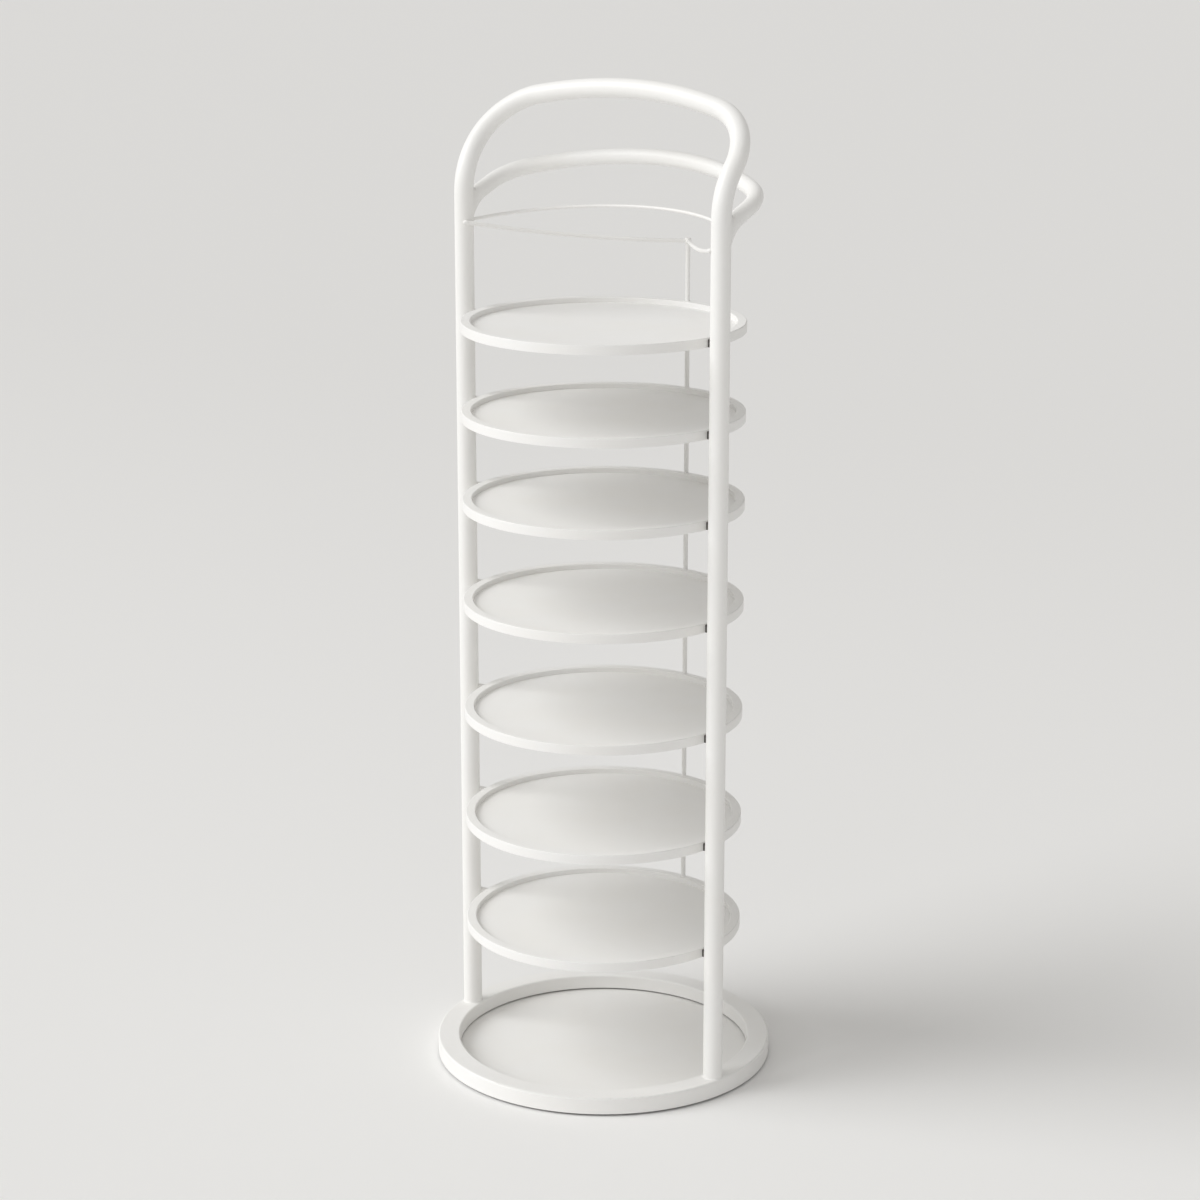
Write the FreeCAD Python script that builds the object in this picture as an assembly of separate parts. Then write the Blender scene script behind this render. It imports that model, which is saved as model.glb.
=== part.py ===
import FreeCAD, Part
import math
import os

# Rotating shoe tower. Millimetres, +Z up, origin on the floor at the turning axis.
# The back rod stands at +Y and the two posts stand near +X and -X.

Vector = FreeCAD.Vector

# ---------------------------------------------------------------- driving dimensions

# trays
TRAY_RADIUS = 175.0
RIM_WIDTH = 12.0
RIM_HEIGHT = 12.0
RIM_WALL = 1.5
RIM_EDGE_RADIUS = 1.2
FLOOR_RECESS = 6.5
FLOOR_THICKNESS = 1.5

# heights of the tray rims
FIRST_TRAY_TOP = 187.0
TALL_PITCH = 140.0
MIDDLE_PITCH = 128.0
SHORT_PITCH = 111.0
TIER_PITCHES = 3 * [TALL_PITCH] + [MIDDLE_PITCH] + 2 * [SHORT_PITCH]

# base ring that turns, an inverted channel centred under the posts
BASE_RING_WIDTH = 28.0
BASE_FLOOR_GAP = 3.0
BASE_WALL = 2.0
BASE_EDGE_RADIUS = 2.5

# foot that stands on the floor
FOOT_PAD_HEIGHT = 2.0
FOOT_PAD_RADIUS = 10.0
FOOT_PAD_COUNT = 6
FOOT_PAD_INSET = 31.0
FOOT_PLATE_THICKNESS = 2.0
PLATE_RUNNING_GAP = 2.0

# ball race
BALL_RADIUS = 2.5
BALL_COUNT = 30
BALL_CLEARANCE = 0.2
BALL_SINK = 1.25
RACE_WIDTH = 15.0
LOWER_RACE_HEIGHT = 5.0
UPPER_RACE_HEIGHT = 3.0
RACE_LIP_WIDTH = 3.0
RACE_LIP_THICKNESS = 2.0
CAGE_WIDTH = 9.0
CAGE_SIDE_GAP = 0.5
CAGE_POCKET_CLEARANCE = 0.1
CARRIER_SIDE_GAP = 0.5
RETAINER_THICKNESS = 1.5
RETAINER_LIFT_GAP = 0.7
RETAINER_OVERLAP = 1.7

# race fasteners
RACE_SCREW_COUNT = 6
RACE_SCREW_RADIUS = 1.5
RACE_SCREW_HEAD_RADIUS = 2.4
RACE_SCREW_HEAD_DEPTH = 0.9
UPPER_SCREW_BITE = 4.0
LOWER_RIVET_COVER = 1.5
THREAD_CLEARANCE = 0.05

# posts and their joints
POST_RADIUS = 12.0
POST_TRAY_GAP = 13.0
TUBE_WALL = 1.5
POST_ANGLE = 98.5
FIT_CLEARANCE = 0.05
POST_PLUG_LENGTH = 25.0
POST_BOLT_RADIUS = 4.0
POST_BOLT_BITE = 20.0
POST_BOLT_HEAD_RADIUS = 6.5
POST_BOLT_HEAD_HEIGHT = 4.0
BOLT_HOLE_CLEARANCE = 0.25
BOLT_POCKET_CLEARANCE = 1.0
BOLT_HEAD_ROOM = 3.5
SLEEVE_HALF_LENGTH = 30.0
SLEEVE_WALL = 1.5

# head frame above the top tray
SEAM_ABOVE_TRAY = 73.0
HANDLE_LEG = 68.0
HANDLE_BEND_RADIUS = 88.0
HANDLE_LEAN = 41.0
HANDLE_STRAIGHT = 2.8
HANDLE_CORNER_RADIUS = 82.0
HANDLE_CROWN_RISE = 15.2
HOOP_RADIUS = 10.0
HOOP_START = 21.6
HOOP_BEND_RADIUS = 50.0
HOOP_LEAN = 67.9
HOOP_STRAIGHT = 22.1
HOOP_CORNER_RADIUS = 54.7
HOOP_CROWN_RISE = 43.4

# wires of the head frame
WIRE_START = 33.0
WIRE_HOOP_RADIUS = 2.0
WIRE_HOOP_DEPTH = 140.0
WIRE_HOOP_LIFT = 17.6
YOKE_RADIUS = 2.5
YOKE_SAG = 4.7
YOKE_SINK = 1.0
YOKE_STOP_SHORT = 1.5

# back rod
ROD_RADIUS = 3.0
ROD_HEAD_ABOVE_TRAY = 76.5
ROD_HOLE_CLEARANCE = 0.1
ROD_WALL_GAP = 0.2
ROD_CAP_RADIUS = 4.0
ROD_CAP_HALF_HEIGHT = 4.2
ROD_CAP_EDGE_RADIUS = 1.8

# lugs on the posts and the pads between them and the rims
LUG_WIDTH = 6.0
LUG_SET_BACK = 8.5
LUG_DROP = 5.0
LUG_EDGE_GAP = 0.5
TRAY_PAD_WIDTH = 7.0
TRAY_PAD_DROP = 2.2
TRAY_PAD_THICKNESS = 2.4
TRAY_SCREW_RADIUS = 1.5
TRAY_SCREW_BITE = 8.5
TRAY_SCREW_HEAD_RADIUS = 2.75
TRAY_SCREW_HEAD_HEIGHT = 3.0
TRAY_SCREW_SEAT_GAP = 0.05
SCREW_TIP_GAP = 1.0

# ---------------------------------------------------------------- worked-out places

POST_CIRCLE_RADIUS = TRAY_RADIUS + POST_TRAY_GAP + POST_RADIUS
BASE_RADIUS = POST_CIRCLE_RADIUS + BASE_RING_WIDTH / 2
BASE_INNER_RADIUS = POST_CIRCLE_RADIUS - BASE_RING_WIDTH / 2
POST_X = POST_CIRCLE_RADIUS * math.sin(math.radians(POST_ANGLE))
POST_Y = POST_CIRCLE_RADIUS * math.cos(math.radians(POST_ANGLE))
POST_SIDES = {"left": -1, "right": 1}

TRAY_TOPS = [FIRST_TRAY_TOP + sum(TIER_PITCHES[:index]) for index in range(len(TIER_PITCHES) + 1)]
RIM_INNER_RADIUS = TRAY_RADIUS - RIM_WIDTH
ROD_Y = TRAY_RADIUS - RIM_WALL - ROD_WALL_GAP - ROD_RADIUS
PAD_OUTER_RADIUS = TRAY_RADIUS + TRAY_PAD_THICKNESS

SEAM_Z = TRAY_TOPS[-1] + SEAM_ABOVE_TRAY
HANDLE_BEND_Z = SEAM_Z + HANDLE_LEG
HOOP_Z = SEAM_Z + HOOP_START
WIRE_Z = SEAM_Z + WIRE_START
ROD_HEAD_Z = TRAY_TOPS[-1] + ROD_HEAD_ABOVE_TRAY

PLATE_TOP = FOOT_PAD_HEIGHT + FOOT_PLATE_THICKNESS
CHANNEL_OUTER_RADIUS = BASE_RADIUS - BASE_WALL
CHANNEL_INNER_RADIUS = BASE_INNER_RADIUS + BASE_WALL
RACE_RADIUS = POST_CIRCLE_RADIUS
RACE_INNER_RADIUS = RACE_RADIUS - RACE_WIDTH / 2
RACE_OUTER_RADIUS = RACE_RADIUS + RACE_WIDTH / 2
LOWER_RACE_BODY_RADIUS = RACE_OUTER_RADIUS - RACE_LIP_WIDTH / 2
LOWER_RACE_LIP_RADIUS = LOWER_RACE_BODY_RADIUS + RACE_LIP_WIDTH
LOWER_RACE_TOP = PLATE_TOP + LOWER_RACE_HEIGHT
BALL_CENTRE_Z = LOWER_RACE_TOP - BALL_SINK + BALL_RADIUS
UPPER_RACE_BOTTOM = BALL_CENTRE_Z + BALL_RADIUS - BALL_SINK
UPPER_RACE_TOP = UPPER_RACE_BOTTOM + UPPER_RACE_HEIGHT
CHANNEL_CEILING = UPPER_RACE_TOP + POST_BOLT_HEAD_HEIGHT + BOLT_HEAD_ROOM
BASE_RING_TOP = CHANNEL_CEILING + BASE_WALL
PLATE_RADIUS = LOWER_RACE_BODY_RADIUS
TRACK_RADIUS = BALL_RADIUS + BALL_CLEARANCE
TRACK_HALF_WIDTH = math.sqrt(TRACK_RADIUS ** 2 - (BALL_RADIUS - BALL_SINK) ** 2)
RACE_SCREW_CIRCLE = (RACE_INNER_RADIUS + RACE_RADIUS - TRACK_HALF_WIDTH) / 2
CAGE_HALF_THICKNESS = BALL_RADIUS - BALL_SINK - CAGE_SIDE_GAP


# ---------------------------------------------------------------- small helpers

def disc(radius, low, high, x=0.0, y=0.0):
    return Part.makeCylinder(radius, high - low, Vector(x, y, low))


def ring(inner, outer, low, high, x=0.0, y=0.0):
    return disc(outer, low, high, x, y).cut(disc(inner, low, high, x, y))


def on_circle(radius, angle, height=0.0):
    turn = math.radians(angle)
    return Vector(radius * math.cos(turn), radius * math.sin(turn), height)


def evenly_spaced(count, offset=0.0):
    return [offset + 360.0 * index / count for index in range(count)]


def filleted(solid, radius, wanted):
    edges = [edge for edge in solid.Edges if wanted(edge)]
    return solid.makeFillet(radius, edges)


def circle_edge(radius, height):
    """A test for the full circle of this radius at this height."""
    def matches(edge):
        box = edge.BoundBox
        same_height = abs(box.ZMin - height) < 1e-4 and abs(box.ZMax - height) < 1e-4
        return same_height and abs(box.XMax - radius) < 1e-3
    return matches


def arc(start, middle, end):
    return Part.Arc(start, middle, end).toShape()


def swept(path, radius):
    """A round bar along a path that starts straight or tangent to its first edge."""
    first = path.OrderedEdges[0]
    start = first.valueAt(first.FirstParameter)
    along = first.tangentAt(first.FirstParameter)
    if first.Orientation == "Reversed":
        start = first.valueAt(first.LastParameter)
        along = first.tangentAt(first.LastParameter).multiply(-1)
    section = Part.Wire(Part.makeCircle(radius, start, along))
    return path.makePipeShell([section], True, True)


def race_pins(bottom, length):
    """Pins that point up between the track and the race's inner edge, with flush heads."""
    pins = []
    for angle in evenly_spaced(RACE_SCREW_COUNT, 180.0 / RACE_SCREW_COUNT):
        spot = on_circle(RACE_SCREW_CIRCLE, angle, bottom)
        head = Part.makeCone(RACE_SCREW_HEAD_RADIUS, RACE_SCREW_RADIUS, RACE_SCREW_HEAD_DEPTH, spot)
        shank = Part.makeCylinder(RACE_SCREW_RADIUS, length, spot)
        pins.append(head.fuse(shank).removeSplitter())
    return group(pins)


def group(solids):
    return Part.makeCompound(solids)


def post_places():
    return {side: Vector(sign * POST_X, POST_Y, 0) for side, sign in POST_SIDES.items()}


# ---------------------------------------------------------------- leaning tube arches

def leaning_arch(leg_bottom, bend_z, bend_radius, lean, straight, corner_radius, crown_rise):
    """Centre line from the right post up, back over the top and down to the left post.

    The legs stand on the posts, bend back by the lean angle, and the rest lies in one
    leaning plane: two corners and a crown that is one long arc.
    """
    turn = math.radians(lean)
    bend_length = bend_radius * turn
    corner_start = bend_length + straight
    corner_x = POST_X - corner_radius
    top = corner_start + corner_radius + crown_rise
    crown_radius = (2 * corner_radius * crown_rise + crown_rise ** 2 + corner_x ** 2) / (2 * crown_rise)
    crown_centre = top - crown_radius
    tangent = math.atan2(corner_start - crown_centre, corner_x)

    def on_bend(x, angle):
        back = bend_radius * (1 - math.cos(angle))
        return Vector(x, POST_Y + back, bend_z + bend_radius * math.sin(angle))

    def on_plane(x, along):
        rest = along - bend_length
        foot = on_bend(x, turn)
        return foot + Vector(0, rest * math.sin(turn), rest * math.cos(turn))

    def side_edges(sign):
        x = sign * POST_X
        corner_points = [
            on_plane(
                sign * (corner_x + corner_radius * math.cos(angle)),
                corner_start + corner_radius * math.sin(angle),
            )
            for angle in (0.0, tangent / 2, tangent)
        ]
        edges = [
            arc(on_bend(x, 0), on_bend(x, turn / 2), on_bend(x, turn)),
            Part.makeLine(on_bend(x, turn), corner_points[0]),
            arc(*corner_points),
        ]
        if leg_bottom < bend_z:
            edges.insert(0, Part.makeLine(Vector(x, POST_Y, leg_bottom), on_bend(x, 0)))
        return edges, corner_points[-1]

    right_edges, right_end = side_edges(1)
    left_edges, left_end = side_edges(-1)
    crown = arc(right_end, on_plane(0, top), left_end)
    return Part.Wire(Part.__sortEdges__(right_edges + [crown] + left_edges))


def handle_path():
    return leaning_arch(
        SEAM_Z, HANDLE_BEND_Z, HANDLE_BEND_RADIUS, HANDLE_LEAN,
        HANDLE_STRAIGHT, HANDLE_CORNER_RADIUS, HANDLE_CROWN_RISE,
    )


def hoop_path():
    return leaning_arch(
        HOOP_Z, HOOP_Z, HOOP_BEND_RADIUS, HOOP_LEAN,
        HOOP_STRAIGHT, HOOP_CORNER_RADIUS, HOOP_CROWN_RISE,
    )


# ---------------------------------------------------------------- foot and ball race

def make_foot_plate():
    return disc(PLATE_RADIUS, FOOT_PAD_HEIGHT, PLATE_TOP).cut(make_lower_rivets())


def make_foot_pads():
    circle = PLATE_RADIUS - FOOT_PAD_INSET
    places = [on_circle(circle, angle) for angle in evenly_spaced(FOOT_PAD_COUNT)]
    return group([disc(FOOT_PAD_RADIUS, 0.0, FOOT_PAD_HEIGHT, spot.x, spot.y) for spot in places])


def ball_track():
    return Part.makeTorus(RACE_RADIUS, TRACK_RADIUS, Vector(0, 0, BALL_CENTRE_Z))


def make_lower_rivets():
    return race_pins(FOOT_PAD_HEIGHT, LOWER_RACE_TOP - LOWER_RIVET_COVER - FOOT_PAD_HEIGHT)


def make_lower_race():
    body = ring(RACE_INNER_RADIUS, LOWER_RACE_BODY_RADIUS, PLATE_TOP, LOWER_RACE_TOP)
    lip = ring(
        LOWER_RACE_BODY_RADIUS, LOWER_RACE_LIP_RADIUS,
        LOWER_RACE_TOP - RACE_LIP_THICKNESS, LOWER_RACE_TOP,
    )
    return body.fuse(lip).removeSplitter().cut(ball_track()).cut(make_lower_rivets())


def make_balls():
    places = [on_circle(RACE_RADIUS, angle, BALL_CENTRE_Z) for angle in evenly_spaced(BALL_COUNT)]
    return group([Part.makeSphere(BALL_RADIUS, spot) for spot in places])


def make_cage():
    low = BALL_CENTRE_Z - CAGE_HALF_THICKNESS
    high = BALL_CENTRE_Z + CAGE_HALF_THICKNESS
    cage = ring(RACE_RADIUS - CAGE_WIDTH / 2, RACE_RADIUS + CAGE_WIDTH / 2, low, high)
    pockets = [
        disc(BALL_RADIUS + CAGE_POCKET_CLEARANCE, low, high, spot.x, spot.y)
        for spot in (on_circle(RACE_RADIUS, angle) for angle in evenly_spaced(BALL_COUNT))
    ]
    return cage.cut(group(pockets))


def make_upper_screws():
    return race_pins(UPPER_RACE_BOTTOM, UPPER_RACE_HEIGHT + UPPER_SCREW_BITE)


def make_upper_race():
    race = ring(RACE_INNER_RADIUS, RACE_OUTER_RADIUS, UPPER_RACE_BOTTOM, UPPER_RACE_TOP)
    return race.cut(ball_track()).cut(make_upper_screws())


def make_race_carrier():
    inner = CHANNEL_INNER_RADIUS + CARRIER_SIDE_GAP
    outer = CHANNEL_OUTER_RADIUS - CARRIER_SIDE_GAP
    carrier = ring(inner, outer, UPPER_RACE_TOP, CHANNEL_CEILING).cut(make_upper_screws())
    pocket = POST_BOLT_HEAD_RADIUS + BOLT_POCKET_CLEARANCE
    for spot in post_places().values():
        carrier = carrier.cut(disc(pocket, UPPER_RACE_TOP, CHANNEL_CEILING, spot.x, spot.y))
    return carrier


def make_lift_retainer():
    top = LOWER_RACE_TOP - RACE_LIP_THICKNESS - RETAINER_LIFT_GAP
    return ring(
        LOWER_RACE_LIP_RADIUS - RETAINER_OVERLAP, CHANNEL_OUTER_RADIUS,
        top - RETAINER_THICKNESS, top,
    )


# ---------------------------------------------------------------- base ring and posts

def make_base_ring():
    outer_wall = ring(CHANNEL_OUTER_RADIUS, BASE_RADIUS, BASE_FLOOR_GAP, BASE_RING_TOP)
    inner_wall = ring(
        BASE_INNER_RADIUS, CHANNEL_INNER_RADIUS,
        PLATE_TOP + PLATE_RUNNING_GAP, BASE_RING_TOP,
    )
    top_wall = ring(CHANNEL_INNER_RADIUS, CHANNEL_OUTER_RADIUS, CHANNEL_CEILING, BASE_RING_TOP)
    shell = outer_wall.fuse([inner_wall, top_wall]).removeSplitter()
    for radius in (BASE_RADIUS, BASE_INNER_RADIUS):
        shell = filleted(shell, BASE_EDGE_RADIUS, circle_edge(radius, BASE_RING_TOP))
    hole = POST_BOLT_RADIUS + BOLT_HOLE_CLEARANCE
    for spot in post_places().values():
        shell = shell.cut(disc(hole, CHANNEL_CEILING, BASE_RING_TOP, spot.x, spot.y))
    return shell


def make_post(spot):
    return ring(POST_RADIUS - TUBE_WALL, POST_RADIUS, BASE_RING_TOP, SEAM_Z, spot.x, spot.y)


def make_post_plugs():
    outer = POST_RADIUS - TUBE_WALL - FIT_CLEARANCE
    inner = POST_BOLT_RADIUS + THREAD_CLEARANCE
    top = BASE_RING_TOP + POST_PLUG_LENGTH
    return group([
        ring(inner, outer, BASE_RING_TOP, top, spot.x, spot.y)
        for spot in post_places().values()
    ])


def make_post_bolts():
    bolts = []
    for spot in post_places().values():
        head_low = CHANNEL_CEILING - POST_BOLT_HEAD_HEIGHT
        head = disc(POST_BOLT_HEAD_RADIUS, head_low, CHANNEL_CEILING, spot.x, spot.y)
        shank_top = BASE_RING_TOP + POST_BOLT_BITE
        shank = disc(POST_BOLT_RADIUS, head_low, shank_top, spot.x, spot.y)
        bolts.append(head.fuse(shank).removeSplitter())
    return group(bolts)


def make_joining_sleeves():
    outer = POST_RADIUS - TUBE_WALL - FIT_CLEARANCE
    low = SEAM_Z - SLEEVE_HALF_LENGTH
    high = SEAM_Z + SLEEVE_HALF_LENGTH
    return group([
        ring(outer - SLEEVE_WALL, outer, low, high, spot.x, spot.y)
        for spot in post_places().values()
    ])


# ---------------------------------------------------------------- head frame

def handle_bar():
    return swept(handle_path(), POST_RADIUS)


def hoop_bar():
    return swept(hoop_path(), HOOP_RADIUS)


def make_handle_arch():
    return handle_bar().cut(swept(handle_path(), POST_RADIUS - TUBE_WALL))


def make_lower_hoop():
    tube = hoop_bar().cut(swept(hoop_path(), HOOP_RADIUS - TUBE_WALL))
    return tube.cut(handle_bar())


def clear_of_tubes(wire):
    return wire.cut(handle_bar()).cut(hoop_bar()).cut(make_lower_hoop())


def make_wire_hoop():
    """One arc from post to post round the back, in a plane that rises to the back."""
    ends = [Vector(sign * POST_X, POST_Y, WIRE_Z) for sign in POST_SIDES.values()]
    back = Vector(0, POST_Y + WIRE_HOOP_DEPTH, WIRE_Z + WIRE_HOOP_LIFT)
    path = Part.Wire([arc(ends[1], back, ends[0])])
    return clear_of_tubes(swept(path, WIRE_HOOP_RADIUS))


def yoke_end(sign):
    """The end of a yoke wire, just short of where it touches the front of a post."""
    from_rod = Vector(POST_X, POST_Y - ROD_Y, 0)
    line_distance = POST_RADIUS + YOKE_RADIUS - YOKE_SINK
    swing = math.asin(line_distance / from_rod.Length)
    reach = math.sqrt(from_rod.Length ** 2 - line_distance ** 2) - YOKE_STOP_SHORT
    end = on_circle(reach, math.degrees(math.atan2(from_rod.y, from_rod.x) - swing), WIRE_Z)
    return Vector(sign * end.x, ROD_Y + end.y, end.z)


def make_yoke(sign):
    """A wire that hangs in a shallow arc from a post to the head of the back rod."""
    start = yoke_end(sign)
    end = Vector(0, ROD_Y, ROD_HEAD_Z)
    middle = (start + end) * 0.5 - Vector(0, 0, YOKE_SAG)
    wire = swept(Part.Wire([arc(start, middle, end)]), YOKE_RADIUS)
    return clear_of_tubes(wire).cut(make_rod_cap())


# ---------------------------------------------------------------- back rod

def make_back_rod():
    return disc(ROD_RADIUS, TRAY_TOPS[0] - RIM_HEIGHT, ROD_HEAD_Z, 0, ROD_Y)


def make_rod_cap():
    low = ROD_HEAD_Z - ROD_CAP_HALF_HEIGHT
    high = ROD_HEAD_Z + ROD_CAP_HALF_HEIGHT
    blank = disc(ROD_CAP_RADIUS, low, high, 0, ROD_Y)
    ends = [edge for edge in blank.Edges if abs(edge.Length - 2 * math.pi * ROD_CAP_RADIUS) < 1e-6]
    return blank.makeFillet(ROD_CAP_EDGE_RADIUS, ends)


def bored_rod_cap():
    return make_rod_cap().cut(make_back_rod())


# ---------------------------------------------------------------- trays

def make_tray_rim(top):
    bottom = top - RIM_HEIGHT
    inner_bottom = top - FLOOR_RECESS - FLOOR_THICKNESS
    outer_wall = ring(TRAY_RADIUS - RIM_WALL, TRAY_RADIUS, bottom, top)
    inner_wall = ring(RIM_INNER_RADIUS, RIM_INNER_RADIUS + RIM_WALL, inner_bottom, top)
    top_wall = ring(
        RIM_INNER_RADIUS + RIM_WALL, TRAY_RADIUS - RIM_WALL,
        top - RIM_WALL, top,
    )
    rim = outer_wall.fuse([inner_wall, top_wall]).removeSplitter()
    for radius in (TRAY_RADIUS, RIM_INNER_RADIUS):
        rim = filleted(rim, RIM_EDGE_RADIUS, circle_edge(radius, top))
    rim = rim.cut(disc(ROD_RADIUS + ROD_HOLE_CLEARANCE, bottom, top, 0, ROD_Y))
    hole = TRAY_SCREW_RADIUS + BOLT_HOLE_CLEARANCE
    for spot in post_places().values():
        rim = rim.cut(lug_pin(spot, top, hole, TRAY_RADIUS - RIM_WIDTH / 2, POST_CIRCLE_RADIUS))
    return rim


def make_tray_floor(top):
    high = top - FLOOR_RECESS
    return disc(RIM_INNER_RADIUS, high - FLOOR_THICKNESS, high)


def lug_block(spot, top, width, drop):
    """A block beside the line from the axis to a post, from inside the rim out to the post."""
    height = RIM_HEIGHT - drop - LUG_EDGE_GAP
    centre = math.copysign(LUG_SET_BACK, spot.x)
    corner = Vector(RIM_INNER_RADIUS, centre - width / 2, top - drop - height)
    block = Part.makeBox(POST_CIRCLE_RADIUS - RIM_INNER_RADIUS, width, height, corner)
    block.rotate(Vector(0, 0, 0), Vector(0, 0, 1), math.degrees(math.atan2(spot.y, spot.x)))
    return block


def lug_pin(spot, top, radius, start, end):
    """A pin along the middle of a lug, between two distances from the turning axis."""
    outward = Vector(spot.x, spot.y, 0).normalize()
    aside = Vector(-outward.y, outward.x, 0) * math.copysign(LUG_SET_BACK, spot.x)
    lug_middle = top - (LUG_DROP + RIM_HEIGHT - LUG_EDGE_GAP) / 2
    place = outward * start + aside + Vector(0, 0, lug_middle)
    return Part.makeCylinder(radius, end - start, place, outward)


def make_tray_pad(spot, top):
    """A rubber pad that follows the rim and lies between it and the lug."""
    low = top - RIM_HEIGHT
    pad = lug_block(spot, top, TRAY_PAD_WIDTH, TRAY_PAD_DROP)
    pad = pad.common(ring(TRAY_RADIUS, PAD_OUTER_RADIUS, low, top))
    hole = TRAY_SCREW_RADIUS + BOLT_HOLE_CLEARANCE
    return pad.cut(lug_pin(spot, top, hole, RIM_INNER_RADIUS, POST_CIRCLE_RADIUS))


def make_tray_pads(spot):
    return group([make_tray_pad(spot, top) for top in TRAY_TOPS])


def make_lug(spot, top):
    """A block between the pad and the post, hollowed to fit both."""
    low = top - RIM_HEIGHT
    block = lug_block(spot, top, LUG_WIDTH, LUG_DROP)
    block = block.cut(disc(PAD_OUTER_RADIUS, low, top))
    block = block.cut(disc(POST_RADIUS, low, top, spot.x, spot.y))
    hole = TRAY_SCREW_RADIUS + THREAD_CLEARANCE
    hole_end = PAD_OUTER_RADIUS + TRAY_SCREW_BITE + SCREW_TIP_GAP
    return block.cut(lug_pin(spot, top, hole, RIM_INNER_RADIUS, hole_end))


def make_lugs(spot):
    return group([make_lug(spot, top) for top in TRAY_TOPS])


def make_tray_screw(spot, top):
    """A cap screw whose head bears on the inside of the rim's curved outer wall."""
    wall_inside = TRAY_RADIUS - RIM_WALL
    head_edge = LUG_SET_BACK + TRAY_SCREW_HEAD_RADIUS
    seat = math.sqrt(wall_inside ** 2 - head_edge ** 2) - TRAY_SCREW_SEAT_GAP
    head = lug_pin(spot, top, TRAY_SCREW_HEAD_RADIUS, seat - TRAY_SCREW_HEAD_HEIGHT, seat)
    shank = lug_pin(spot, top, TRAY_SCREW_RADIUS, seat, PAD_OUTER_RADIUS + TRAY_SCREW_BITE)
    return head.fuse(shank).removeSplitter()


def make_tray_screws():
    spots = post_places().values()
    return group([make_tray_screw(spot, top) for top in TRAY_TOPS for spot in spots])


# ---------------------------------------------------------------- assembly

def make_nodes():
    spots = post_places()
    nodes = {
        "foot_plate": make_foot_plate(),
        "foot_pads": make_foot_pads(),
        "lower_race": make_lower_race(),
        "lower_race_rivets": make_lower_rivets(),
        "ball_cage": make_cage(),
        "bearing_balls": make_balls(),
        "upper_race": make_upper_race(),
        "upper_race_screws": make_upper_screws(),
        "race_carrier": make_race_carrier(),
        "lift_retainer": make_lift_retainer(),
        "base_ring": make_base_ring(),
        "post_plugs": make_post_plugs(),
        "post_bolts": make_post_bolts(),
        "joining_sleeves": make_joining_sleeves(),
        "handle_arch": make_handle_arch(),
        "lower_hoop": make_lower_hoop(),
        "wire_hoop": make_wire_hoop(),
        "back_rod": make_back_rod(),
        "rod_cap": bored_rod_cap(),
        "tray_screws": make_tray_screws(),
    }
    for side, sign in POST_SIDES.items():
        nodes[side + "_post"] = make_post(spots[side])
        nodes[side + "_tray_lugs"] = make_lugs(spots[side])
        nodes[side + "_tray_pads"] = make_tray_pads(spots[side])
        nodes[side + "_yoke_wire"] = make_yoke(sign)
    for number, top in enumerate(TRAY_TOPS, start=1):
        nodes["tray_rim_%d" % number] = make_tray_rim(top)
        nodes["tray_floor_%d" % number] = make_tray_floor(top)
    return nodes


def main():
    os.makedirs("parts", exist_ok=True)
    for name, shape in make_nodes().items():
        shape.exportStep("parts/%s.step" % name)


main()
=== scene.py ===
import bpy
import math
from mathutils import Euler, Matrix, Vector


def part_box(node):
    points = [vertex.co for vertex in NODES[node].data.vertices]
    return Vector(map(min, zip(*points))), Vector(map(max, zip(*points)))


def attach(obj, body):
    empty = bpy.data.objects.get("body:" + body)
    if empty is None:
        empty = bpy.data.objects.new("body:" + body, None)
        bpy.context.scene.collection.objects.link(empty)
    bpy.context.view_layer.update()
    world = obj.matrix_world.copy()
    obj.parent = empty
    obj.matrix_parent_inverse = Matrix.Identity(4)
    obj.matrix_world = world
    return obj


# Rotating shoe tower: finishes, weld fillets and beads, floor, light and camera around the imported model.
# Metres, +Z up, origin on the floor at the turning axis, back rod at +Y, posts near +X and -X.

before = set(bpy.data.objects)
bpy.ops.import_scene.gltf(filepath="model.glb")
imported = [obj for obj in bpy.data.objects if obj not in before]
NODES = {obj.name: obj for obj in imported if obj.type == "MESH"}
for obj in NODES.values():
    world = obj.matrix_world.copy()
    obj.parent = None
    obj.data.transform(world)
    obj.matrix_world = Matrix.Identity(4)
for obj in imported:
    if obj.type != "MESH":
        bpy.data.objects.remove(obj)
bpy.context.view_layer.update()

# ---------------------------------------------------------------- sizes read from the frame

POST_LOW, POST_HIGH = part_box("right_post")
POST_RADIUS = (POST_HIGH.x - POST_LOW.x) / 2
POST_X = (POST_HIGH.x + POST_LOW.x) / 2
POST_Y = (POST_HIGH.y + POST_LOW.y) / 2
POST_CIRCLE_RADIUS = math.hypot(POST_X, POST_Y)
SEAM_Z = POST_HIGH.z
ROD_LOW, ROD_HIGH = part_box("back_rod")
ROD_RADIUS = (ROD_HIGH.x - ROD_LOW.x) / 2
ROD_Y = (ROD_HIGH.y + ROD_LOW.y) / 2
TRAY_TOPS = [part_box(name)[1].z for name in sorted(NODES) if name.startswith("tray_rim_")]
RING_TOP = POST_LOW.z
RING_HALF_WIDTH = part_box("base_ring")[1].x - POST_CIRCLE_RADIUS
POST_SIDES = {"left": -1, "right": 1}

# ---------------------------------------------------------------- sizes of the construction

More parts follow.
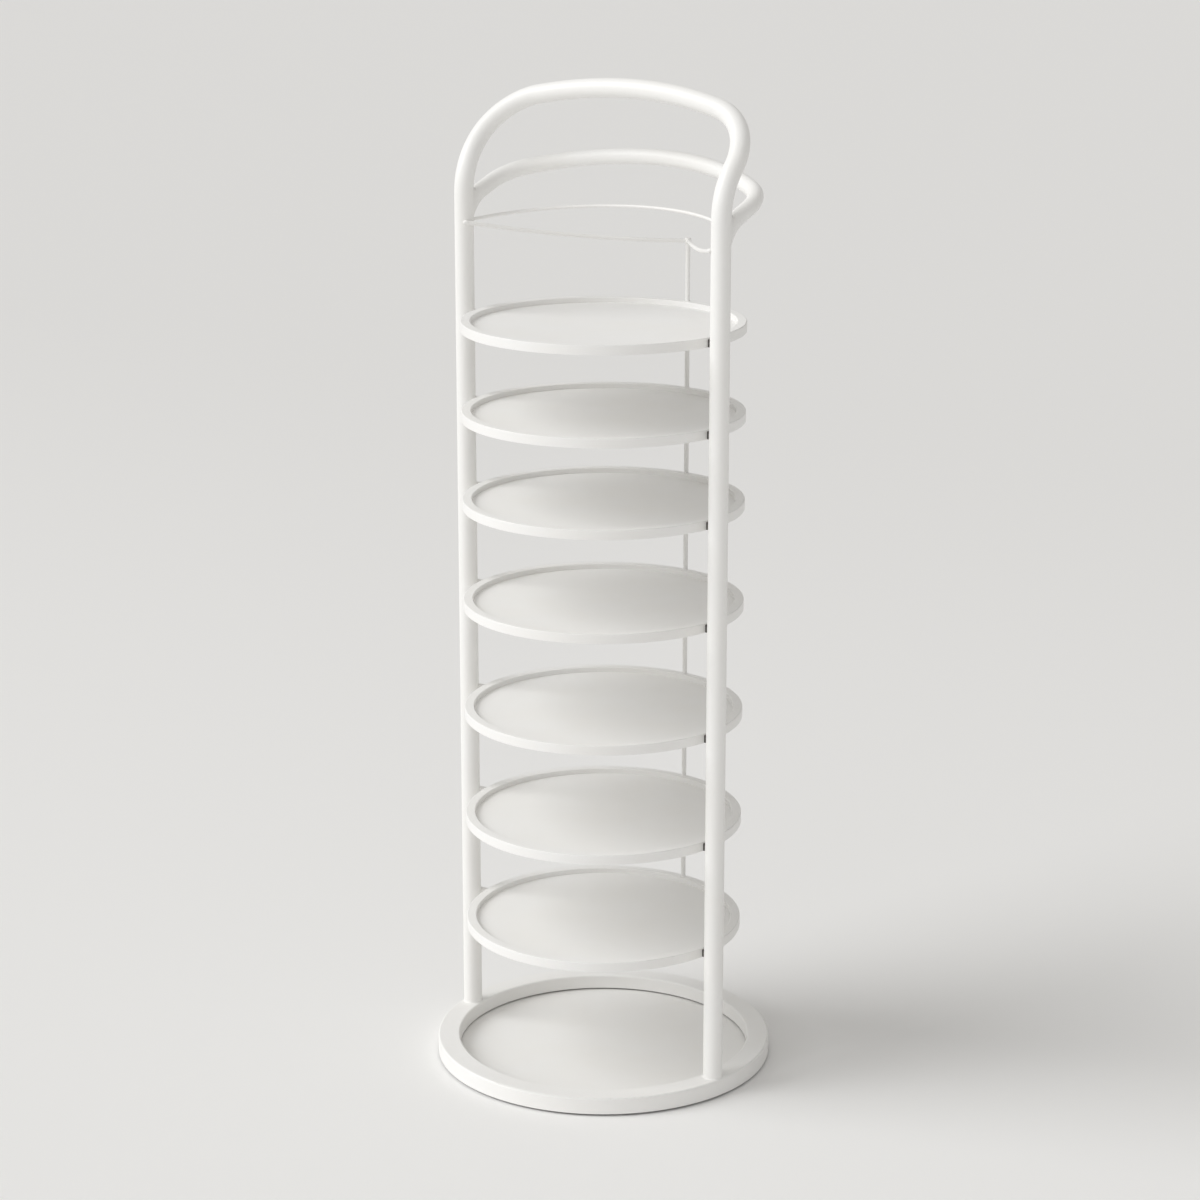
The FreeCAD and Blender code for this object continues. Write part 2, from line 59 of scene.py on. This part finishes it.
RING_EDGE_RADIUS = 0.0025
HANDLE_STRAIGHT = 0.068
HANDLE_BEND_Z = SEAM_Z + HANDLE_STRAIGHT
HANDLE_BEND_RADIUS = 0.088
HOOP_RADIUS = 0.010
HOOP_START = 0.0216
HOOP_START_Z = SEAM_Z + HOOP_START
HOOP_BEND_RADIUS = 0.050
WIRE_START = 0.033
WIRE_Z = SEAM_Z + WIRE_START
WIRE_HOOP_DEPTH = 0.140
WIRE_HOOP_LIFT = 0.0176
YOKE_RADIUS = 0.0025
YOKE_SAG = 0.0047
YOKE_SINK = 0.001
YOKE_STOP_SHORT = 0.0015
LUG_WIDTH = 0.006
LUG_SET_BACK = 0.0085
LUG_DROP = 0.005
LUG_EDGE_GAP = 0.0005
RIM_HEIGHT = 0.012

# ---------------------------------------------------------------- sizes of the details

FOOT_WELD_RADIUS = 0.0016
HOOP_WELD_RADIUS = 0.0045
ROD_WELD_RADIUS = 0.0008
WELD_STEPS = 96
WELD_ARC_STEPS = 8
WELD_SINK = 0.0003
HOOP_SEARCH_STEPS = 768
HOOP_SECTION_EVERY = 4
HALVINGS = 40
BEAD_RINGS = 14
BEAD_SIDES = 18
BEAD_RIPPLE = 0.05
BEAD_RIPPLES = 5
YOKE_BEAD_LENGTH = 0.0045
YOKE_BEAD_RADIUS = 0.0029
HOOP_BEAD_LENGTH = 0.0026
HOOP_BEAD_RADIUS = 0.0031
LUG_BEAD_RADIUS = 0.0014

# ---------------------------------------------------------------- colours

PAINT_WHITE = (0.903, 0.899, 0.886)
PAINT_WARMTH = (0.985, 0.975, 0.955)
PAINT_SPECK_SHARE = 0.94
FOOT_WHITE = (0.893, 0.888, 0.873)
RACE_STEEL = (0.60, 0.59, 0.57)
FASTENER_STEEL = (0.66, 0.66, 0.64)
STEEL_STAIN_SHARE = 0.78
BALL_STEEL = (0.72, 0.72, 0.73)
BALL_HAZE_SHARE = 0.85
CAGE_NYLON = (0.78, 0.77, 0.72)
CARRIER_GREY = (0.20, 0.20, 0.21)
MOULD_TONE_SHARE = 0.92
# painted shade: the pads' near-black stands in for the shadow in the gaps between the rims and the posts
PAD_BLACK_PAINTED_SHADE = (0.075, 0.070, 0.064)
RUBBER_DUST = (0.17, 0.16, 0.15)

# ---------------------------------------------------------------- camera, floor and light

CAMERA_DISTANCE = 3.694
CAMERA_HEIGHT = 1.602
CAMERA_AZIMUTH = math.radians(38.424)
CAMERA_HEADING = math.radians(38.493)
CAMERA_PITCH = math.radians(15.142)
CAMERA_LENS = 91.85
CAMERA_SENSOR = 36.0
CAMERA_CLIP_START = 0.05
CAMERA_CLIP_END = 800.0

FLOOR_SIZE = 400.0
FLOOR_NEAR = (0.905, 0.901, 0.891)
# painted shade: the far floor colour is darker than the near one, in place of the light falling off behind
# the tower
FLOOR_FAR_PAINTED_SHADE = (0.82, 0.815, 0.804)
FLOOR_FADE_HEADING = math.radians(5.0)
FLOOR_FADE_START = -1.0
FLOOR_FADE_END = 4.0
FLOOR_ROUGHNESS = 0.85
FLOOR_GRAIN = 0.00003

KEY_AZIMUTH = math.radians(-80.0)
KEY_ELEVATION = math.radians(38.0)
KEY_SPREAD = math.radians(44.0)
KEY_STRENGTH = 1.80
FILL_AZIMUTH = math.radians(-22.0)
FILL_ELEVATION = math.radians(18.0)
FILL_SPREAD = math.radians(70.0)
FILL_STRENGTH = 0.36
LAMP_COLOUR = (0.99, 0.995, 1.0)
WORLD_STRENGTH = 0.46
WORLD_COLOUR = (1.0, 0.985, 0.96)
BACKDROP_STRENGTH = 0.70


# ---------------------------------------------------------------- node helpers

# A Mix node lists its sockets for every type of data: these are the ones that mix colours.
MIX_SHARE = 0
MIX_FIRST = 6
MIX_SECOND = 7
MIX_RESULT = 2


def shaded(colour, share):
    """The colour with each channel times a share, or times its own share."""
    shares = share if isinstance(share, tuple) else (share,) * len(colour)
    return tuple(channel * part for channel, part in zip(colour, shares))


class Shader:
    """A material under construction, with the few kinds of node the finishes need."""

    def __init__(self, name):
        self.material = bpy.data.materials.new(name)
        self.material.use_nodes = True
        self.tree = self.material.node_tree
        self.surface = self.tree.nodes["Principled BSDF"]
        self.place = self.tree.nodes.new("ShaderNodeTexCoord").outputs["Object"]

    def node(self, kind, **values):
        """A new node, with its own properties set."""
        made = self.tree.nodes.new(kind)
        for key, value in values.items():
            setattr(made, key, value)
        return made

    def link(self, source, target):
        self.tree.links.new(source, target)

    def stretched(self, scale):
        """Object coordinates with each axis scaled."""
        mapping = self.node("ShaderNodeMapping")
        mapping.inputs["Scale"].default_value = scale
        self.link(self.place, mapping.inputs["Vector"])
        return mapping.outputs["Vector"]

    def noise(self, scale, detail=2.0, roughness=0.5, place=None):
        made = self.node("ShaderNodeTexNoise")
        made.inputs["Scale"].default_value = scale
        made.inputs["Detail"].default_value = detail
        made.inputs["Roughness"].default_value = roughness
        self.link(place or self.place, made.inputs["Vector"])
        return made.outputs["Fac"]

    def ranged(self, value, low, high, from_low=0.3, from_high=0.7, fade="LINEAR"):
        """The value's span, by default the middle of a noise, carried over to low and high."""
        made = self.node("ShaderNodeMapRange", interpolation_type=fade)
        made.inputs["From Min"].default_value = from_low
        made.inputs["From Max"].default_value = from_high
        made.inputs["To Min"].default_value = low
        made.inputs["To Max"].default_value = high
        self.link(value, made.inputs["Value"])
        return made.outputs["Result"]

    def mixed(self, share, first, second):
        """Two colours, each a socket or plain numbers, mixed by a varying share."""
        made = self.node("ShaderNodeMix", data_type="RGBA")
        self.link(share, made.inputs[MIX_SHARE])
        for socket, colour in ((made.inputs[MIX_FIRST], first), (made.inputs[MIX_SECOND], second)):
            if isinstance(colour, bpy.types.NodeSocket):
                self.link(colour, socket)
            else:
                socket.default_value = (*colour, 1.0)
        return made.outputs[MIX_RESULT]

    def bump(self, height, distance, normal=None):
        made = self.node("ShaderNodeBump")
        made.inputs["Distance"].default_value = distance
        self.link(height, made.inputs["Height"])
        if normal is not None:
            self.link(normal, made.inputs["Normal"])
        return made.outputs["Normal"]

    def finish(self, colour=None, roughness=None, normal=None, **numbers):
        """Links what varies, and writes the plain numbers on the surface's own sockets."""
        for name, source in (("Base Color", colour), ("Roughness", roughness), ("Normal", normal)):
            if source is not None:
                self.link(source, self.surface.inputs[name])
        for name, value in numbers.items():
            self.surface.inputs[name.replace("_", " ")].default_value = value
        return self.material


# ---------------------------------------------------------------- finishes

def powder_coat(name, colour, gloss, peel):
    """Baked powder paint: fine orange peel, patches of a little more gloss, a trace of mottling."""
    shader = Shader(name)
    mottle = shader.ranged(shader.noise(scale=11.0, detail=3.0), low=0.0, high=0.6)
    specks = shader.noise(scale=420.0, detail=1.0)
    speck = shader.ranged(specks, low=0.0, high=0.35, from_low=0.62, from_high=0.8)
    mottled = shader.mixed(mottle, colour, shaded(colour, PAINT_WARMTH))
    tint = shader.mixed(speck, mottled, shaded(colour, PAINT_SPECK_SHARE))
    patches = shader.ranged(shader.noise(scale=45.0, detail=3.0), low=gloss - 0.04, high=gloss + 0.05)
    waves = shader.bump(shader.noise(scale=260.0, detail=1.0), distance=peel * 1.6)
    normal = shader.bump(shader.noise(scale=900.0, detail=2.0, roughness=0.6), distance=peel, normal=waves)
    return shader.finish(tint, patches, normal)


def brushed_steel(name, colour):
    """Turned zinc-plated steel: rings of fine tool marks round the turning axis."""
    shader = Shader(name)
    marks = shader.noise(scale=1.0, detail=4.0, roughness=0.7, place=shader.stretched((60.0, 60.0, 2600.0)))
    stains = shader.ranged(shader.noise(scale=35.0, detail=4.0), low=0.0, high=0.5)
    tint = shader.mixed(stains, colour, shaded(colour, STEEL_STAIN_SHARE))
    rough = shader.ranged(marks, low=0.26, high=0.44)
    return shader.finish(tint, rough, shader.bump(marks, distance=0.00001), Metallic=1.0)


def polished_steel(name, colour):
    """Hardened ball steel with a trace of oil haze."""
    shader = Shader(name)
    haze = shader.noise(scale=320.0, detail=3.0)
    tint = shader.mixed(shader.ranged(haze, low=0.0, high=0.3), colour, shaded(colour, BALL_HAZE_SHARE))
    return shader.finish(tint, shader.ranged(haze, low=0.05, high=0.14), Metallic=1.0)


def moulded_plastic(name, colour, gloss, grain):
    """Spark-eroded mould texture with a slight change of tone."""
    shader = Shader(name)
    tone = shader.ranged(shader.noise(scale=24.0, detail=3.0), low=0.0, high=0.6)
    tint = shader.mixed(tone, colour, shaded(colour, MOULD_TONE_SHARE))
    pits = shader.noise(scale=1400.0, detail=2.0, roughness=0.7)
    rough = shader.ranged(shader.noise(scale=90.0, detail=2.0), low=gloss - 0.05, high=gloss + 0.07)
    return shader.finish(tint, rough, shader.bump(pits, distance=grain))


def pad_rubber(name, colour):
    """Dusty black rubber; its near-black is painted shade, standing in for the dark gap between each rim and
    its post.
    """
    shader = Shader(name)
    cloud = shader.noise(scale=140.0, detail=4.0, roughness=0.6)
    dust = shader.ranged(cloud, low=0.0, high=0.5, from_low=0.45, from_high=0.75)
    tint = shader.mixed(dust, colour, RUBBER_DUST)
    rough = shader.ranged(dust, low=0.72, high=0.9, from_low=0.0, from_high=0.5)
    return shader.finish(tint, rough, shader.bump(shader.noise(scale=800.0, detail=3.0), distance=0.00005))


def make_finishes():
    """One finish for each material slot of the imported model."""
    return {
        "frame_white": powder_coat("frame_white_finish", PAINT_WHITE, gloss=0.40, peel=0.000010),
        "tray_white": powder_coat("tray_white_finish", PAINT_WHITE, gloss=0.44, peel=0.000008),
        "wire_white": powder_coat("wire_white_finish", PAINT_WHITE, gloss=0.36, peel=0.000005),
        "foot_white": powder_coat("foot_white_finish", FOOT_WHITE, gloss=0.48, peel=0.000010),
        "race_steel": brushed_steel("race_steel_finish", RACE_STEEL),
        "fastener_steel": brushed_steel("fastener_steel_finish", FASTENER_STEEL),
        "ball_steel": polished_steel("ball_steel_finish", BALL_STEEL),
        "cage_nylon": moulded_plastic("cage_nylon_finish", CAGE_NYLON, gloss=0.42, grain=0.00002),
        "carrier_plastic": moulded_plastic("carrier_plastic_finish", CARRIER_GREY, gloss=0.5, grain=0.00003),
        "pad_rubber": pad_rubber("pad_rubber_finish", PAD_BLACK_PAINTED_SHADE),
    }


FINISHES = make_finishes()


def dress_nodes():
    """Gives each CAD node the full finish of the slot that it was packed with."""
    for node in NODES.values():
        for slot in node.material_slots:
            slot.material = FINISHES[slot.material.name]


# ---------------------------------------------------------------- weld fillets and beads

def add_piece(name, points, faces, slot):
    """A smooth mesh piece that turns with the tower."""
    mesh = bpy.data.meshes.new(name)
    mesh.from_pydata([tuple(point) for point in points], [], faces)
    mesh.validate()
    for polygon in mesh.polygons:
        polygon.use_smooth = True
    mesh.materials.append(FINISHES[slot])
    piece = bpy.data.objects.new(name, mesh)
    bpy.context.scene.collection.objects.link(piece)
    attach(piece, "tower")
    return piece


def weld_section(ball, first_touch, second_touch):
    """A fillet's cross-section: the arc of a ball from touch to touch, closed behind the arc."""
    first = first_touch - ball
    second = second_touch - ball
    radius = first.length
    deep = (first + second).normalized()
    arc = [
        ball + first.slerp(second, step / WELD_ARC_STEPS).normalized() * radius
        for step in range(WELD_ARC_STEPS + 1)
    ]
    return arc + [second_touch + second.normalized() * WELD_SINK,
                  ball + deep * (radius + WELD_SINK * 2),
                  first_touch + first.normalized() * WELD_SINK]


def add_weld(name, sections):
    """A closed ring of cross-sections, each given as (ball centre, touch, touch)."""
    rings = [weld_section(*section) for section in sections]
    width = len(rings[0])
    points = [point for ring in rings for point in ring]
    faces = []
    for row in range(len(rings)):
        after = (row + 1) % len(rings)
        for column in range(width):
            side = (column + 1) % width
            here, there = row * width, after * width
            faces.append((here + column, here + side, there + side, there + column))
    return add_piece(name, points, faces, "frame_white")


def foot_weld_section(sign, angle):
    """A ball rolling round a post's foot on the base ring, over the ring's rounded edges."""
    foot = Vector((sign * POST_X, POST_Y, 0.0))
    outward = Vector((math.cos(angle), math.sin(angle), 0.0))
    ball = foot + outward * (POST_RADIUS + FOOT_WELD_RADIUS)
    from_axis = Vector((ball.x, ball.y, 0.0))
    offset = from_axis.length - POST_CIRCLE_RADIUS
    over_edge = abs(offset) - (RING_HALF_WIDTH - RING_EDGE_RADIUS)
    if over_edge <= 0:
        ball.z = RING_TOP + FOOT_WELD_RADIUS
        floor_touch = Vector((ball.x, ball.y, RING_TOP))
    else:
        reach = RING_EDGE_RADIUS + FOOT_WELD_RADIUS
        ball.z = RING_TOP - RING_EDGE_RADIUS + math.sqrt(reach ** 2 - over_edge ** 2)
        edge_centre = ball - from_axis.normalized() * math.copysign(over_edge, offset)
        edge_centre.z = RING_TOP - RING_EDGE_RADIUS
        floor_touch = edge_centre + (ball - edge_centre).normalized() * RING_EDGE_RADIUS
    post_touch = foot + outward * POST_RADIUS
    post_touch.z = ball.z
    return ball, post_touch, floor_touch


def add_foot_welds():
    """Fillets round the feet of both posts."""
    for side, sign in POST_SIDES.items():
        sections = [
            foot_weld_section(sign, 2 * math.pi * step / WELD_STEPS)
            for step in range(WELD_STEPS)
        ]
        add_weld(side + "_foot_weld", sections)


def nearest_on_handle(back, height):
    """The handle's centre line nearest to a point of its side plane: (back, height) and distance."""
    if height <= HANDLE_BEND_Z:
        spot = (0.0, height)
    else:
        angle = math.atan2(height - HANDLE_BEND_Z, HANDLE_BEND_RADIUS - back)
        spot = (
            HANDLE_BEND_RADIUS * (1 - math.cos(angle)),
            HANDLE_BEND_Z + HANDLE_BEND_RADIUS * math.sin(angle),
        )
    return spot, math.hypot(back - spot[0], height - spot[1])


def hoop_spot(angle, beyond=0.0):
    """A point of the hoop's side plane on its bend, or so far beyond it from the bend's centre."""
    radius = HOOP_BEND_RADIUS + beyond
    return HOOP_BEND_RADIUS - radius * math.cos(angle), HOOP_START_Z + radius * math.sin(angle)


def crossing(angle):
    """How far beyond the hoop's centre line the ball that touches both tubes rolls at this angle."""
    post_reach = POST_RADIUS + HOOP_WELD_RADIUS
    hoop_reach = HOOP_RADIUS + HOOP_WELD_RADIUS

    def excess(beyond):
        distance = nearest_on_handle(*hoop_spot(angle, beyond))[1]
        return distance ** 2 - post_reach ** 2 - beyond ** 2 + hoop_reach ** 2

    low, high = -hoop_reach, hoop_reach
    if excess(low) < 0 or excess(high) > 0:
        return None
    for _ in range(HALVINGS):
        middle = (low + high) / 2
        if excess(middle) > 0:
            low = middle
        else:
            high = middle
    return low


def hoop_weld_section(sign, aside, angle, beyond):
    """The ball between handle and hoop, on one side of their common plane."""
    hoop_reach = HOOP_RADIUS + HOOP_WELD_RADIUS
    sideways = aside * math.sqrt(max(hoop_reach ** 2 - beyond ** 2, 0.0))
    x = sign * POST_X

    def in_space(spot, lateral=0.0):
        return Vector((x + lateral, POST_Y + spot[0], spot[1]))

    ball_spot = hoop_spot(angle, beyond)
    ball = in_space(ball_spot, sideways)
    handle_axis = in_space(nearest_on_handle(*ball_spot)[0])
    hoop_axis = in_space(hoop_spot(angle))
    handle_touch = handle_axis + (ball - handle_axis).normalized() * POST_RADIUS
    hoop_touch = hoop_axis + (ball - hoop_axis).normalized() * HOOP_RADIUS
    return ball, handle_touch, hoop_touch


def add_hoop_welds():
    """Smooth fillets where the lower hoop leaves the handle's legs."""
    found = []
    for step in range(HOOP_SEARCH_STEPS):
        angle = math.pi / 2 * step / HOOP_SEARCH_STEPS
        beyond = crossing(angle)
        if beyond is not None:
            found.append((angle, beyond))
    found = found[::HOOP_SECTION_EVERY] + [found[-1]]
    for side, sign in POST_SIDES.items():
        up = [hoop_weld_section(sign, 1, *spot) for spot in found]
        down = [hoop_weld_section(sign, -1, *spot) for spot in reversed(found)]
        add_weld(side + "_hoop_weld", up + down)


def rod_weld_section(top, angle):
    """A ball rolling round the back rod on the flat top of a rim."""
    foot = Vector((0.0, ROD_Y, top))
    outward = Vector((math.cos(angle), math.sin(angle), 0.0))
    up = Vector((0.0, 0.0, ROD_WELD_RADIUS))
    ball = foot + outward * (ROD_RADIUS + ROD_WELD_RADIUS) + up
    return ball, foot + outward * ROD_RADIUS + up, ball - up


def add_rod_welds():
    """Small fillets where the back rod comes up through each rim."""
    for number, top in enumerate(TRAY_TOPS, start=1):
        sections = [
            rod_weld_section(top, 2 * math.pi * step / WELD_STEPS)
            for step in range(WELD_STEPS)
        ]
        add_weld("rod_weld_%d" % number, sections)


def bead_rings(place, along, half_length, radius):
    """The rings of a rippled tack weld: a long drop round a place, with its axis along a direction."""
    aside = along.orthogonal().normalized()
    across = along.cross(aside)
    turns = [2 * math.pi * side / BEAD_SIDES for side in range(BEAD_SIDES)]
    spokes = [aside * math.cos(turn) + across * math.sin(turn) for turn in turns]
    rings = []
    for ring in range(1, BEAD_RINGS):
        share = -math.cos(math.pi * ring / BEAD_RINGS)
        ripple = 1 + BEAD_RIPPLE * math.cos(BEAD_RIPPLES * math.pi * share)
        width = radius * math.sqrt(1 - share ** 2) * ripple
        middle = place + along * (half_length * share)
        rings.append([middle + spoke * width for spoke in spokes])
    return rings


def add_beads(name, beads):
    """One piece of several beads, each given as (place, direction, half length, radius)."""
    points = []
    faces = []
    for bead in beads:
        first = len(points)
        rings = bead_rings(*bead)
        points += [point for ring in rings for point in ring]
        for row in range(len(rings) - 1):
            here = first + row * BEAD_SIDES
            beyond = here + BEAD_SIDES
            for side in range(BEAD_SIDES):
                after = (side + 1) % BEAD_SIDES
                faces.append((here + side, here + after, beyond + after, beyond + side))
        last = first + (len(rings) - 1) * BEAD_SIDES
        faces.append(tuple(range(first + BEAD_SIDES - 1, first - 1, -1)))
        faces.append(tuple(range(last, last + BEAD_SIDES)))
    return add_piece(name, points, faces, "frame_white")


def yoke_bead(sign):
    """The tack that closes the end of a yoke wire against the front of its post."""
    post = Vector((POST_X, POST_Y - ROD_Y))
    line_distance = POST_RADIUS + YOKE_RADIUS - YOKE_SINK
    heading = math.atan2(post.y, post.x) - math.asin(line_distance / post.length)
    reach = math.sqrt(post.length ** 2 - line_distance ** 2) - YOKE_STOP_SHORT
    level = Vector((sign * math.cos(heading), math.sin(heading), 0.0))
    rise = WIRE_Z - ROD_HIGH.z
    slope = math.atan2(rise, reach) + 2 * math.atan(2 * YOKE_SAG / math.hypot(reach, rise))
    along = level * math.cos(slope) + Vector((0.0, 0.0, math.sin(slope)))
    place = Vector((0.0, ROD_Y, WIRE_Z)) + level * reach
    return place, along, YOKE_BEAD_LENGTH, YOKE_BEAD_RADIUS


def wire_hoop_bead(sign):
    """The tack where the wire hoop leaves a post."""
    rise = math.hypot(WIRE_HOOP_DEPTH, WIRE_HOOP_LIFT)
    swing = 2 * math.atan(rise / POST_X)
    backward = Vector((0.0, WIRE_HOOP_DEPTH, WIRE_HOOP_LIFT)) / rise
    along = Vector((-sign * math.cos(swing), 0.0, 0.0)) + backward * math.sin(swing)
    place = Vector((sign * POST_X, POST_Y, WIRE_Z)) + along * POST_RADIUS
    return place, along, HOOP_BEAD_LENGTH, HOOP_BEAD_RADIUS


def lug_beads(sign):
    """Upright beads on both sides of each lug, where it meets the post."""
    outward = Vector((sign * POST_X, POST_Y, 0.0)).normalized()
    back = Vector((-outward.y, outward.x, 0.0)) * sign
    height = RIM_HEIGHT - LUG_DROP - LUG_EDGE_GAP
    beads = []
    for top in TRAY_TOPS:
        for edge in (-1, 1):
            aside = LUG_SET_BACK + edge * LUG_WIDTH / 2
            along = POST_CIRCLE_RADIUS - math.sqrt(POST_RADIUS ** 2 - aside ** 2)
            place = outward * along + back * aside
            place.z = top - LUG_DROP - height / 2
            beads.append((place, Vector((0.0, 0.0, 1.0)), height / 2, LUG_BEAD_RADIUS))
    return beads


def add_tack_welds():
    """The beads at the ends of the wires and beside the lugs."""
    for side, sign in POST_SIDES.items():
        add_beads(side + "_wire_tacks", [yoke_bead(sign), wire_hoop_bead(sign)])
        add_beads(side + "_lug_welds", lug_beads(sign))


# ---------------------------------------------------------------- stage, light and camera

def add_floor():
    """Pale paper with painted shade: it grows a little darker with the distance behind the tower, where the
    light falls off.
    """
    mesh = bpy.data.meshes.new("floor")
    half = FLOOR_SIZE / 2
    corners = [(-half, -half, 0), (half, -half, 0), (half, half, 0), (-half, half, 0)]
    mesh.from_pydata(corners, [], [(0, 1, 2, 3)])
    floor = bpy.data.objects.new("floor", mesh)
    bpy.context.scene.collection.objects.link(floor)
    shader = Shader("floor_paper")
    turned = shader.node("ShaderNodeMapping")
    turned.inputs["Rotation"].default_value = (0.0, 0.0, -FLOOR_FADE_HEADING)
    shader.link(shader.place, turned.inputs["Vector"])
    along = shader.node("ShaderNodeSeparateXYZ")
    shader.link(turned.outputs["Vector"], along.inputs["Vector"])
    # painted shade: the floor darkens from the near colour to the far one along a slightly turned heading,
    # in place of the light's falloff
    painted_falloff = shader.ranged(
        along.outputs["Y"], low=0.0, high=1.0,
        from_low=FLOOR_FADE_START, from_high=FLOOR_FADE_END, fade="SMOOTHSTEP",
    )
    tint = shader.mixed(painted_falloff, FLOOR_NEAR, FLOOR_FAR_PAINTED_SHADE)
    grain = shader.bump(shader.noise(scale=700.0, detail=2.0), distance=FLOOR_GRAIN)
    mesh.materials.append(shader.finish(colour=tint, normal=grain, Roughness=FLOOR_ROUGHNESS))


def add_sun(name, azimuth, elevation, spread, strength):
    """A soft lamp so far to the side of the camera's heading, where 0 is behind the camera."""
    light = bpy.data.lights.new(name, "SUN")
    light.energy = strength
    light.angle = spread
    light.color = LAMP_COLOUR
    lamp = bpy.data.objects.new(name, light)
    heading = CAMERA_AZIMUTH + azimuth
    toward = Vector((
        math.sin(heading) * math.cos(elevation),
        -math.cos(heading) * math.cos(elevation),
        math.sin(elevation),
    ))
    lamp.rotation_euler = toward.to_track_quat("Z", "Y").to_euler()
    bpy.context.scene.collection.objects.link(lamp)


def add_world():
    """Even light from all round; above the floor's horizon it shows as pale as the floor."""
    world = bpy.data.worlds.new("studio")
    world.use_nodes = True
    tree = world.node_tree
    background = tree.nodes["Background"]
    background.inputs["Color"].default_value = (*WORLD_COLOUR, 1.0)
    ray = tree.nodes.new("ShaderNodeLightPath")
    seen = ray.outputs["Is Camera Ray"]
    for kind in ("Is Glossy Ray", "Is Transmission Ray"):
        either = tree.nodes.new("ShaderNodeMath")
        either.operation = "MAXIMUM"
        tree.links.new(seen, either.inputs[0])
        tree.links.new(ray.outputs[kind], either.inputs[1])
        seen = either.outputs["Value"]
    strength = tree.nodes.new("ShaderNodeMapRange")
    strength.inputs["To Min"].default_value = WORLD_STRENGTH
    strength.inputs["To Max"].default_value = BACKDROP_STRENGTH
    tree.links.new(seen, strength.inputs["Value"])
    tree.links.new(strength.outputs["Result"], background.inputs["Strength"])
    bpy.context.scene.world = world


def add_camera():
    """A long lens that looks down on the tower from the front right."""
    data = bpy.data.cameras.new("camera")
    data.lens = CAMERA_LENS
    data.sensor_width = CAMERA_SENSOR
    data.clip_start = CAMERA_CLIP_START
    data.clip_end = CAMERA_CLIP_END
    camera = bpy.data.objects.new("camera", data)
    camera.location = (
        CAMERA_DISTANCE * math.sin(CAMERA_AZIMUTH),
        -CAMERA_DISTANCE * math.cos(CAMERA_AZIMUTH),
        CAMERA_HEIGHT,
    )
    camera.rotation_euler = Euler((math.pi / 2 - CAMERA_PITCH, 0.0, CAMERA_HEADING))
    bpy.context.scene.collection.objects.link(camera)
    bpy.context.scene.camera = camera


# ---------------------------------------------------------------- everything together


def main():
    """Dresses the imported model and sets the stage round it."""
    bpy.context.scene.view_settings.view_transform = "Standard"
    dress_nodes()
    add_foot_welds()
    add_hoop_welds()
    add_rod_welds()
    add_tack_welds()
    add_floor()
    add_sun("key", KEY_AZIMUTH, KEY_ELEVATION, KEY_SPREAD, KEY_STRENGTH)
    add_sun("fill", FILL_AZIMUTH, FILL_ELEVATION, FILL_SPREAD, FILL_STRENGTH)
    add_world()
    add_camera()


main()
